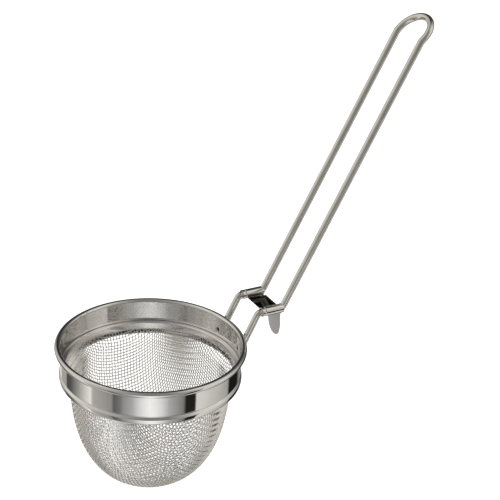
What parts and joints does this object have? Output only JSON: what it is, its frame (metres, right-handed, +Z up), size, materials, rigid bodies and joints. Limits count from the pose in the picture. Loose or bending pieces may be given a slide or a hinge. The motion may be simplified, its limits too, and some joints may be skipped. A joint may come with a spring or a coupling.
{
  "type": "tea strainer",
  "caption": "Deep wire-cloth strainer in a sheet band, with a hairpin wire handle and a bracket that hooks over a pot or cup rim.",
  "frame": {"origin": "middle of the flat underside of the hook bracket's plate, which rests on the pot's rim", "axes": "+X outwards along the handle, away from the bowl; +Z up along the bowl's axis; the part is symmetric about the XZ plane"},
  "size_m": [0.165, 0.0798, 0.1921],
  "materials": {
    "band_steel": "mirror-polished stainless sheet",
    "ring_steel": "bright stainless sheet",
    "cloth_steel": "bright annealed stainless wire cloth",
    "wire_steel": "drawn and barrel-polished stainless wire",
    "bracket_steel": "tumbled stainless sheet"
  },
  "bodies": {
    "root": {"rim_band": "band_steel", "inner_ring": "ring_steel", "mesh_bowl": "cloth_steel", "handle_wire": "wire_steel", "hook_bracket": "bracket_steel"}
  },
  "joints": []
}
